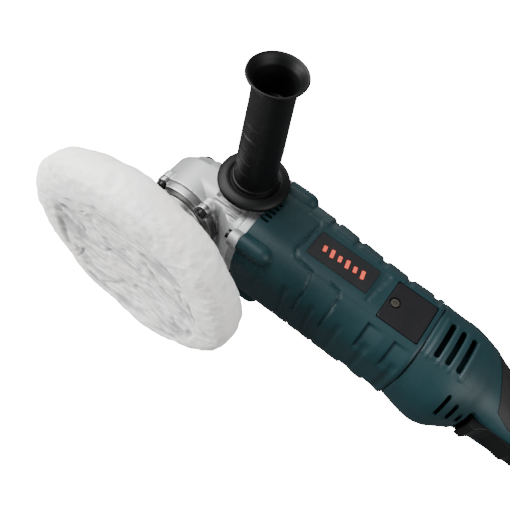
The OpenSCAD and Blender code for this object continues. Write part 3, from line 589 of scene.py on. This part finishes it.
def shell_point(share, angle, lift=0.0):
    """Point of the left shell. The angle runs from -90 at the bottom to 90 at the top."""
    x, middle, half_w, half_h, square = station_at(share)
    c, s = math.cos(angle), math.sin(angle)
    reach = (abs(c / half_w) ** square + abs(s / half_h) ** square) ** (-1 / square) + lift
    return x, reach * c, middle + reach * s


AIR_X = (-224.5, -233.5, -242.5)
RIB_X = (-219.8, -229, -238, -247.2)


def shell_relief(x, z, y):
    """Raised side panel, ribs beside the air slots, and the sunk seam along the middle."""
    panel = ease(x, -262, -254) * ease(x, -213, -214) * ease(z, 75.7, 77.3) * ease(z, 121, 119)
    height = 0.55 * panel
    for rib in RIB_X:
        inside = ease(abs(x - rib), 2.0, 1.4)
        if inside:
            height += 0.8 * inside * ease(z, 74, 76) * ease(z, 113, 109)
    return height - 0.6 * ease(abs(y), 1.3, 0.2)


def on_left_shell(u, v):
    angle = (v - 0.5) * math.pi
    x, y, z = shell_point(u, angle)
    return shell_point(u, angle, shell_relief(x, z, y))


print("stations:", len(STATIONS), "length round the end:", round(REACH[-1], 1))

# %% [markdown]
# The air slots are through holes with round ends. The dial, the trigger and the lock-on button each need their
# opening, and these are cut with the air slots in one boolean per shell, the dial's in the left shell only.
# A notch by the trigger and a plate inside behind the air slots follow in booleans of their own, and the right
# shell gets its holes for the shell screws last.

# %% Make both rear shells
air_slots = [((4.4, 30, 31.5), (x, 38, 94.2), 2.1) for x in AIR_X]
air_slots += [((3.2, 40, 22), (x, low_y + 20, 55), 1.5) for x, low_y in ((-248.1, 13.5), (-256.6, 11), (-264, 8))]
SHELL_SCREWS = ((-221, 129), (-221, 67), (-281, 115), (-340, 107), (-376, 75))


def rear_shell(side):
    node = "rear_shell_" + ("left" if side > 0 else "right")
    shell = to_object(node + "_skin", rolled_sheet(176, 132, on_left_shell))
    modify(shell, "SOLIDIFY", thickness=2.4 * MM, offset=-1)
    bake(shell)
    openings = [block(size, middle, corner) for size, middle, corner in air_slots]
    openings.append(block((92, 25.8, 40), (-313, 0, 57), 1.5, through="Z"))
    openings.append(block((27, 9, 20), (-361, 0, 122), 1.0, through="Z"))
    if side > 0:
        openings.append(block((12.2, 20, 12.2), (-325, 24, 99), 6.09, steps=10))
    cut(shell, openings)
    cut(shell, [block((50, 90, 26.5), (-292.5, 0, 58.25), 3)])
    cut(shell, [block((33, 1.2, 66.5), (-233.5, 22, 95.75), 2)], "UNION")
    if side < 0:
        form = bmesh.new()
        form.from_mesh(shell.data)
        bmesh.ops.scale(form, vec=(1, -1, 1), verts=form.verts)
        bmesh.ops.reverse_faces(form, faces=form.faces)
        form.to_mesh(shell.data)
        form.free()
        holes = [block((7.4, 9, 7.4), (x, -abs(shell_y(x, z)), z), 3.69, steps=8) for x, z in SHELL_SCREWS]
        cut(shell, holes)
    return finish_piece(shell, TEAL, "teal_plastic", "housing", node)


def shell_y(x, z):
    """Half width of the shells at a place in side view."""
    share = min((i / 400 for i in range(401)), key=lambda s: abs(station_at(s)[0] - x))
    _, middle, half_w, half_h, square = station_at(share)
    return half_w * max(0.0, 1 - abs((z - middle) / half_h) ** square) ** (1 / square)


rear_shell(1)
rear_shell(-1)

# %% [markdown]
# ## Grip inlays
# The soft grip is a second, rubbery moulding over the shell. It is the shell's own surface again,
# lifted by half a millimetre and trimmed by a side outline, so it follows every curve beneath it.

# %% Make the inlays
INLAY_OUTLINE = [(-261, 131), (-283, 80), (-295, 76), (-355, 78), (-377, 84), (-377, 138), (-261, 138)]


def grip_inlay(side):
    def on_inlay(u, v):
        share = 0.16 + 0.78 * u
        angle = (v - 0.5) * math.pi * 0.985
        return shell_point(share, angle, 0.55)

    node = "grip_inlay_" + ("left" if side > 0 else "right")
    inlay = to_object(node + "_skin", rolled_sheet(110, 90, on_inlay))
    modify(inlay, "SOLIDIFY", thickness=1.5 * MM, offset=-1)
    bake(inlay)
    cut(inlay, [prism(INLAY_OUTLINE, -5, 60)], "INTERSECT")
    openings = [block((27, 9, 20), (-361, 0, 122), 1.0, through="Z")]
    if side > 0:
        openings.append(block((13.4, 20, 13.4), (-325, 24, 99), 6.69, steps=10))
    cut(inlay, openings)
    if side < 0:
        form = bmesh.new()
        form.from_mesh(inlay.data)
        bmesh.ops.scale(form, vec=(1, -1, 1), verts=form.verts)
        bmesh.ops.reverse_faces(form, faces=form.faces)
        form.to_mesh(inlay.data)
        form.free()
    return finish_piece(inlay, SOFT, "soft_grip", "housing", node)


grip_inlay(1)
grip_inlay(-1)

# %% [markdown]
# ## Side handle
# The handle is turned round one line, so its half profile is spun about that line. The profile is
# a chain of points from the bore, out over the dished guard disc, along the grip, over the thin lip
# and down into the hollow end.

# %% Spin the side handle
HANDLE_X, HANDLE_Z = -40.0, 109.0
HANDLE_PROFILE = [
    (6.4, 44.5), (26.5, 44.5), (28.4, 45.2), (29.0, 46.6), (28.8, 48.2), (27.8, 49.4), (25.5, 50.6),
    (22.5, 51.4), (20.6, 51.3), (19.4, 50.6), (18.4, 50.6), (18.0, 51.2), (17.9, 53.0), (17.5, 53.7),
    (16.7, 54.0), (16.5, 55.5), (16.6, 62), (16.7, 74), (16.5, 90), (16.1, 106), (15.6, 122),
    (15.3, 136), (15.4, 144), (15.9, 149), (17.0, 152.4), (19.3, 154.2), (20.5, 154.9), (20.8, 155.6),
    (20.6, 156.3), (19.9, 156.5), (19.2, 156.2), (17.4, 154.2), (15.0, 150), (13.6, 144), (12.6, 134),
    (12.0, 129), (11.0, 128.3), (6.0, 128.2), (0, 128.2),
]
LINES_Y = (70, 82, 94, 106, 118)
LINES_FACE = (0.35, -0.94)


def spun(profile, steps=96, fine=1.4):
    """The (radius, length) profile as a closed skin about Y, with points at most fine apart."""
    form = bmesh.new()
    chain = []
    for (r1, l1), (r2, l2) in zip(profile, profile[1:]):
        count = max(1, math.ceil(math.hypot(r2 - r1, l2 - l1) / fine))
        chain += [(r1 + (r2 - r1) * i / count, l1 + (l2 - l1) * i / count) for i in range(count)]
    chain.append(profile[-1])
    points = [form.verts.new((r * MM, l * MM, 0)) for r, l in chain]
    edges = [form.edges.new(pair) for pair in zip(points, points[1:])]
    bmesh.ops.spin(form, geom=points + edges, cent=(0, 0, 0), axis=(0, 1, 0), dvec=(0, 0, 0),
                   angle=math.tau, steps=steps, use_merge=True)
    bmesh.ops.remove_doubles(form, verts=form.verts, dist=1e-6)
    bmesh.ops.holes_fill(form, edges=[e for e in form.edges if e.is_boundary], sides=0)
    bmesh.ops.recalc_face_normals(form, faces=form.faces)
    return form


handle_form = spun(HANDLE_PROFILE, fine=0.9)
for point in handle_form.verts:
    radius = math.hypot(point.co.x, point.co.z)
    if 15e-3 < radius < 17e-3:
        facing = abs(point.co.x * LINES_FACE[0] + point.co.z * LINES_FACE[1]) / radius
        for line in LINES_Y:
            depth = 0.6 * ease(abs(point.co.y / MM - line), 0.9, 0.3) * ease(facing, 0.80, 0.90)
            point.co.x *= 1 - depth * MM / radius
            point.co.z *= 1 - depth * MM / radius
bmesh.ops.translate(handle_form, vec=(HANDLE_X * MM, 0, HANDLE_Z * MM), verts=handle_form.verts)
finish_piece(to_object("side_handle", handle_form), BLACK, "black_plastic", "housing", "side_handle_grip")

# %% [markdown]
# ## Castings
# A casting has no sharp edges: its walls meet in small fillets, and outer corners are rounded by
# the mould. Bevelling a mesh full of cut-outs often fails, so the copied part is rebuilt on a fine
# voxel grid and smoothed a little, which rounds every edge by about the same radius.

# %% Soften the cast and moulded parts
def softened(name, node, finish, slot, body, voxel, rounds, sharp=60):
    form = bmesh.new()
    form.from_mesh(frame["nodes"][node].data)
    bmesh.ops.remove_doubles(form, verts=form.verts, dist=1e-5)
    piece = to_object(name, form)
    modify(piece, "REMESH", mode="VOXEL", voxel_size=voxel * MM)
    modify(piece, "SMOOTH", factor=0.5, iterations=rounds)
    return finish_piece(bake(piece), finish, slot, body, node, sharp=sharp)


softened("gear_casting", "gear_case", CAST, "cast_aluminium", "housing", 0.8, 2)
softened("bearing_retainer", "bearing_cover", TURNED, "turned_aluminium", "housing", 0.6, 2)
softened("trigger_lever", "trigger", BLACK, "black_plastic", "trigger", 0.5, 5)
softened("lock_button_cap", "lock_button", BLACK, "black_plastic", "lock", 0.4, 3)
softened("pad_flange", "pad_hub", BLACK, "hub_plastic", "spindle", 0.8, 3)
screw_low, screw_high = box_mm("brush_cover_screws")
screw_mid = (screw_low + screw_high) / 2
for side, turned in (("left", 1), ("right", -1)):
    cap = softened("brush_cap_" + side, "brush_cover_" + side, CHARCOAL, "charcoal_plastic", "housing", 0.45, 2)
    cut(cap, [block((9, 4, 9), (screw_mid.x, turned * (cover_high.y + 0.4), screw_mid.z), 4.49, steps=8)])

# %% [markdown]
# ## Wool bonnet
# The bonnet is a lambswool disc gathered over the edge of the pad. Its plain C-shaped section is
# spun first. Then cloth does what hands could hardly model: the skin is rebuilt as even quads,
# blown up gently by pressure with gravity off, and it swells into a soft, slightly uneven rim.

# %% Spin and inflate the bonnet
PAD_R, PAD_LOW, PAD_HIGH, MOUTH_R = 88.0, 10.0, 25.0, 62.0
BONNET_PROFILE = [
    (0, PAD_LOW - 0.6), (PAD_R - 2, PAD_LOW - 0.6), (PAD_R + 1, PAD_LOW + 2), (PAD_R + 1, PAD_HIGH - 1),
    (PAD_R - 4, PAD_HIGH + 1.4), (MOUTH_R + 2, PAD_HIGH + 2.2), (MOUTH_R, PAD_HIGH + 5), (MOUTH_R + 4, 36),
    (73, 39.5), (82, 40), (90, 38), (95.5, 33), (98.6, 26), (99.3, 19), (98, 11), (93.5, 5), (87, 2.2),
    (78, 1.6), (68, 2.6), (58, 4.4), (40, 5.2), (0, 5.4),
]


def spun_upright(profile, steps, fine):
    form = spun(profile, steps, fine)
    bmesh.ops.rotate(form, verts=form.verts, matrix=Matrix.Rotation(math.pi / 2, 3, "X"))
    return form


bonnet = to_object("wool_disc", spun_upright(BONNET_PROFILE, 96, 4))
modify(bonnet, "REMESH", mode="VOXEL", voxel_size=4.5 * MM)
bake(bonnet)
start = [point.co.copy() for point in bonnet.data.vertices]
print("bonnet points before cloth:", len(start), "top", round(max(p.z for p in start) / MM, 1))

# %% Blow it up with cloth
SWELL = 4.0
cloth = modify(bonnet, "CLOTH")
cloth.settings.use_pressure = True
cloth.settings.uniform_pressure_force = 4
cloth.settings.effector_weights.gravity = 0
scene = bpy.context.scene
for step in range(1, 21):
    scene.frame_set(step)
bake(bonnet)
scene.frame_set(1)
for point, before in zip(bonnet.data.vertices, start):
    moved = point.co - before
    if moved.length > SWELL * MM:
        point.co = before + moved * (SWELL * MM / moved.length)
print("bonnet after cloth, radius", round(max(p.co.xy.length for p in bonnet.data.vertices) / MM, 1))

# %% [markdown]
# Wool mats where it rubs. The working face is a little sunk inside the rim and full of streaky
# creases, while the rim stays smooth and full. The creases are folded noise, stretched along the face.
# How sunk each point lies is stored as `depth`, which the wool finish paints in as shade: most in the creases,
# dents and folds, a little over the whole face, less on the tufts.

# %% Comb, crease and store the depth for the painted shade
modify(bonnet, "SUBSURF", levels=2, render_levels=2)
bake(bonnet)


def folded(place, size):
    """Noise folded about its middle: 1 along thin winding lines, and near 0 away from them."""
    return 1 - min(1.0, abs(noise.noise(Vector(place) / (size * MM))) * 4)


skin = bmesh.new()
skin.from_mesh(bonnet.data)
skin.normal_update()
painted_shade_layer = skin.verts.layers.float.new("depth")
FACE_R, RIM_STREAKS = 68.0, 30.0
moves = []
for point in skin.verts:
    place, radius = point.co, point.co.xy.length / MM
    low = ease(place.z / MM, 12, 7) * (radius > 1)
    spoke = place.xy.normalized() if radius > 1 else Vector((1, 0))
    edge = FACE_R + 3 - 5 * spoke.y + 7 * noise.noise(Vector((spoke.x * 2.2, spoke.y * 2.2, 5)))
    face = low * ease(radius, edge + 5, edge - 7)
    drawn = Vector((place.x * 0.36 + place.y * 0.1, place.y - place.x * 0.12, place.z))
    warp = noise.noise_vector(place / (30 * MM)) * (11 * MM)
    crease = ease(folded(drawn + warp, 24), 0.45, 1.0)
    dents = ease(noise.noise((drawn + warp * 0.6) / (17 * MM) + Vector((4, 2, 7))), 0.0, 0.45)
    strands = noise.noise((drawn + warp * 0.3) / (3.4 * MM))
    tufts = noise.noise(place / (6.5 * MM) + warp * 40) * 0.55 + noise.noise(place / (3.0 * MM)) * 0.3
    fold = low * max(0.0, 1 - ((radius - edge) / 4) ** 2) * ease(noise.noise(Vector((*(spoke * 3), 9))), -0.25, 0.3)
    swell = noise.noise(place / (42 * MM)) * 2.4 + noise.noise(place / (15 * MM)) * 0.8
    comb = noise.noise(Vector((*(spoke * RIM_STREAKS), place.z / (22 * MM))))
    rim_dent = (1 - face) * ease(noise.noise(place / (19 * MM) + Vector((9, 9, 9))), 0.2, 0.5)
    height = (1 - face) * (swell + comb * 0.14 - rim_dent * 1.0) + face * (strands * 1.25 + swell * 0.4)
    height += tufts * (0.55 + 0.75 * low)
    height -= face * (1.5 + crease * 2.0 + dents * 3.2) + fold * 3.0
    moves.append(point.normal * height * MM)
    # Painted shade amount: greater on the sunk face and in creases, dents, folds and rim dents, smaller on raised
    # strands and tufts.
    point[painted_shade_layer] = min(1.0, face * (0.2 + crease * 0.4 + dents * 0.5 - strands * 0.5) + fold * 0.7
                             - tufts * 0.2 * low
                             + rim_dent * 0.16 + max(0.0, -comb) * 0.06 * (1 - face))
RESTS_BELOW, RESTS_AT, PRESSED = 12 * MM, 0.1 * MM, 0.76
for point, move in zip(skin.verts, moves):
    point.co += move
    if point.co.z < RESTS_BELOW:
        point.co.z = max(RESTS_AT, RESTS_BELOW - (RESTS_BELOW - point.co.z) * PRESSED)
skin.to_mesh(bonnet.data)
skin.free()
finish_piece(bonnet, WOOL, "wool", "spindle", "wool_bonnet", sharp=180)

# %% [markdown]
# ## Generic mark on the label
# The plate carries a row of slanted bars, a pattern that says nothing. Each is a thin slab that
# stands a tenth of a millimetre proud, as screen print with body does.

# %% Lay the bars on the label
bars = []
for k in range(6):
    tall = 7.4 if k % 2 else 5.4
    bars.append(block((3.0, 0.5, tall), (plate_mid.x + 17 - 6.8 * k, plate_high.y, AXIS),
                      corner=0.6, steps=2, turn=(14, "Y")))
finish_piece(to_object("label_mark", gather(bars)), PRINT, "label", "housing")

# %% [markdown]
# ## Finishes for the nodes that keep their shape
# Turned, ground and stamped parts are right as they came. They only need a finish, which replaces
# the plain one in their first material slot. The record's slot name picks it.

# %% Paint the remaining nodes
BY_SLOT = {
    "cast_aluminium": CAST, "turned_aluminium": TURNED, "black_screws": OXIDE,
    "bright_screws": BRIGHT, "rubber": RUBBER, "bearing_steel": STEEL, "bronze": BRONZE,
    "grey_plastic": GREY, "teal_plastic": TEAL, "lamination_steel": SHEETS,
    "copper_wire": COPPER, "carbon": CARBON, "spring_steel": STEEL,
    "charcoal_plastic": CHARCOAL, "label": LABEL, "soft_grip": SOFT, "black_plastic": BLACK,
    "red_plastic": RED, "machined_steel": STEEL, "gear_steel": GEAR, "hub_plastic": BLACK,
    "pad_foam": FOAM, "wool": WOOL,
}
for row in frame["record"]["subparts"]:
    node = frame["nodes"][row["node"]]
    if not node.data.materials:
        node.data.materials.append(None)
    for index in range(len(node.material_slots)):
        node.material_slots[index].material = BY_SLOT[row["material_slot"]].material
frame["nodes"]["brush_cover_screws"].material_slots[0].material = ZINC.material

# %% [markdown]
# ## The return springs
# A coil spring shortens when its button or trigger goes in. Each one is copied as its own piece, and
# the share of its length that the travel leaves is worked out and printed.

# %% Copy the two return springs and work out their shortened length
LOCK_TRAVEL, TRIGGER_TURN = 5.5, 4.0
pivot_x = (box_mm("trigger_pin")[0].x + box_mm("trigger_pin")[1].x) / 2
for node, name, joint in (("lock_spring", "lock_coil", "spindle_lock"),
                          ("trigger_spring", "trigger_coil", "trigger_pull")):
    low, high = box_mm(node)
    middle = (low + high) / 2
    swing = math.tan(math.radians(TRIGGER_TURN)) * (middle.x - pivot_x)
    travel = LOCK_TRAVEL if node == "lock_spring" else swing
    form = bmesh.new()
    form.from_mesh(frame["nodes"][node].data)
    form.transform(frame["nodes"][node].matrix_world)
    coil = finish_piece(to_object(name, form), STEEL, "spring_steel", "housing", node)
    keep = (high.z - low.z - travel - 0.4) / (high.z - low.z)
    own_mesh(coil)
    print(name, "keeps", round(keep, 2), "of its", round(high.z - low.z, 1), "mm")

# %% [markdown]
# ## Stage and light
# The floor is a plain pale sheet under the bonnet. It shows only from above, because the camera
# looks up at the working face from below it, and it neither blocks nor bounces light. The light is
# a bright even sky with one large soft lamp beside the camera, a second above and a weak one below.

# %% Floor, sky and lamps
FLOOR_HALF = 6.0
sheet = bmesh.new()
bmesh.ops.create_grid(sheet, x_segments=1, y_segments=1, size=FLOOR_HALF)
floor_mesh = bpy.data.meshes.new("floor")
sheet.to_mesh(floor_mesh)
sheet.free()
floor = bpy.data.objects.new("floor", floor_mesh)
bpy.context.scene.collection.objects.link(floor)
floor.visible_diffuse = floor.visible_glossy = floor.visible_shadow = False
floor.visible_transmission = False
paper = Finish("floor_paper", (0.86, 0.86, 0.86), 0.9, Emission_Color=(1, 1, 1, 1), Emission_Strength=0.35)
tree = paper.tree
back = paper.node("ShaderNodeNewGeometry")["Backfacing"]
clear = paper.node("ShaderNodeBsdfTransparent")["BSDF"]
both = paper.node("ShaderNodeMixShader", None, {0: back, 2: clear})
tree.links.new(paper.shader.outputs["BSDF"], both.made.inputs[1])
tree.links.new(both["Shader"].socket, tree.nodes["Material Output"].inputs["Surface"])
floor_mesh.materials.append(paper.material)

world = bpy.data.worlds.new("studio")
bpy.context.scene.world = world
world.use_nodes = True
sky = world.node_tree
seen = sky.nodes["Background"]
seen.inputs["Color"].default_value = (1, 1, 1, 1)
seen.inputs["Strength"].default_value = 24.0
lit = sky.nodes.new("ShaderNodeBackground")
lit.inputs["Color"].default_value = (0.93, 0.96, 1, 1)
lit.inputs["Strength"].default_value = 0.21
path = sky.nodes.new("ShaderNodeLightPath")
choice = sky.nodes.new("ShaderNodeMixShader")
sky.links.new(path.outputs["Is Camera Ray"], choice.inputs[0])
sky.links.new(lit.outputs[0], choice.inputs[1])
sky.links.new(seen.outputs[0], choice.inputs[2])
sky.links.new(choice.outputs[0], sky.nodes["World Output"].inputs["Surface"])


def lamp(name, place, size, power, aim=Vector((-0.08, 0, 0.09))):
    """A square soft lamp at a place, turned towards the middle of the machine."""
    data = bpy.data.lights.new(name, "AREA")
    data.size, data.energy = size, power
    made = bpy.data.objects.new(name, data)
    bpy.context.scene.collection.objects.link(made)
    made.location = place
    made.rotation_euler = (Vector(aim) - Vector(place)).to_track_quat("-Z", "Y").to_euler()
    return made


lamp("key", Vector((0.62, 0.98, 0.12)), 0.9, 30)
lamp("near", Vector((0.75, 0.3, -0.55)), 0.5, 20)
lamp("behind", Vector((-0.9, 0.55, -0.1)), 0.7, 9)
lamp("top", Vector((0.3, 0.2, 1.3)), 0.9, 3)
